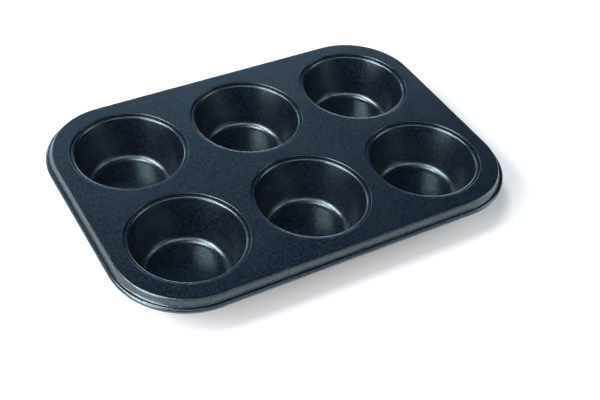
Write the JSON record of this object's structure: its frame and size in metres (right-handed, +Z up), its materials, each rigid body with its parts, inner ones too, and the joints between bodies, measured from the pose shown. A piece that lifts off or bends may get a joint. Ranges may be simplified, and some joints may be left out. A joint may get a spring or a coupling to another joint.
{
  "type": "muffin pan",
  "caption": "Rectangular muffin pan: round tapered cups seamed into a flat pressed deck with a rim rolled round a wire, for baking small cakes.",
  "frame": {"origin": "on the table, under the middle of the pan", "axes": "+Z up, +X along the rows of cups and the long side, +Y from the front row to the back row"},
  "size_m": [0.265, 0.185, 0.03],
  "materials": {
    "nonstick_coating": "satin black-blue non-stick coating on pressed steel sheet",
    "steel_wire": "bare drawn steel wire"
  },
  "bodies": {
    "root": {"top_sheet": "nonstick_coating", "rim_wire": "steel_wire", "cup_front_left": "nonstick_coating", "cup_front_middle": "nonstick_coating", "cup_front_right": "nonstick_coating", "cup_back_left": "nonstick_coating", "cup_back_middle": "nonstick_coating", "cup_back_right": "nonstick_coating"}
  },
  "joints": []
}
